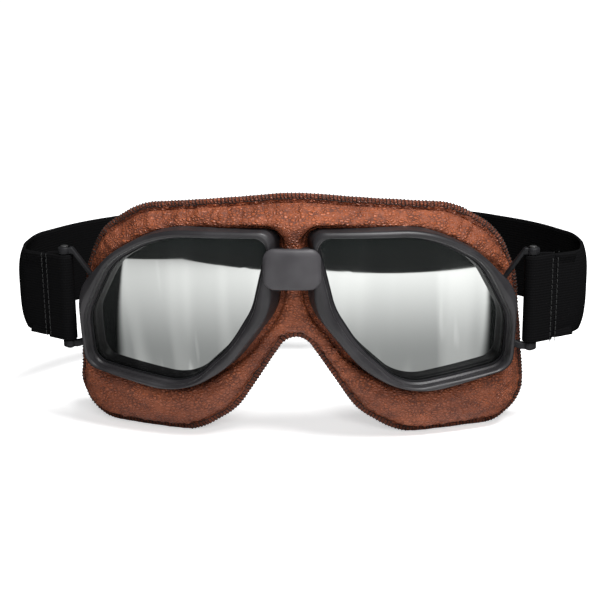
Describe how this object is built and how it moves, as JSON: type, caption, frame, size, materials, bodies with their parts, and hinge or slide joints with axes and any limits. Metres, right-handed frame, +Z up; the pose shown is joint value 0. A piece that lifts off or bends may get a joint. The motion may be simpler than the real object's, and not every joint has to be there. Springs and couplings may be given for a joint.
{
  "type": "aviator goggles",
  "caption": "Flying goggles with two framed mirror lenses on a leather face pad, a nose bridge and an elastic head strap with a slide adjuster.",
  "frame": {"origin": "centre of the object's bounding box at the level of the table that the face pad's lobes stand on", "axes": "+X to the wearer's left, which is right in the picture; +Y from the lenses towards the wearer's head; +Z up"},
  "size_m": [0.2426, 0.1312, 0.1008],
  "materials": {
    "frame_plastic": "satin dark grey, moulded",
    "lens_mirror": "silver flash mirror over smoke",
    "gasket_rubber": "matt black",
    "ring_plastic": "matt black",
    "pin_steel": "blackened",
    "pad_leather": "pebbled reddish brown, semi-gloss",
    "pad_foam": "soft cellular foam",
    "strap_webbing": "black woven elastic, matt",
    "slider_plastic": "black moulded"
  },
  "bodies": {
    "goggles": {"bridge_bar": "frame_plastic", "bridge_cover": "frame_plastic", "foam_core": "pad_foam", "leather_back": "pad_leather", "leather_front": "pad_leather", "left_gasket": "gasket_rubber", "left_lens": "lens_mirror", "left_retaining_ring": "ring_plastic", "left_rim": "frame_plastic", "left_strap_loop": "strap_webbing", "left_strap_pin": "pin_steel", "right_gasket": "gasket_rubber", "right_lens": "lens_mirror", "right_retaining_ring": "ring_plastic", "right_rim": "frame_plastic", "right_strap_loop": "strap_webbing", "right_strap_pin": "pin_steel", "sewn_edge": "pad_leather"},
    "strap": {"strap_band": "strap_webbing", "strap_tail": "strap_webbing", "left_strap_hem": "strap_webbing", "right_strap_hem": "strap_webbing"},
    "adjuster": {"strap_adjuster": "slider_plastic"}
  },
  "joints": [
    {"name": "strap_swing", "type": "hinge", "parent": "goggles", "child": "strap", "pos_m": [0, -0.03372, 0.0561], "axis": [1, 0, 0], "range_deg": [-20, 65]},
    {"name": "adjuster_slide", "type": "slide", "parent": "strap", "child": "adjuster", "axis": [1, 0, 0], "range_m": [-0.02, 0.02]}
  ]
}
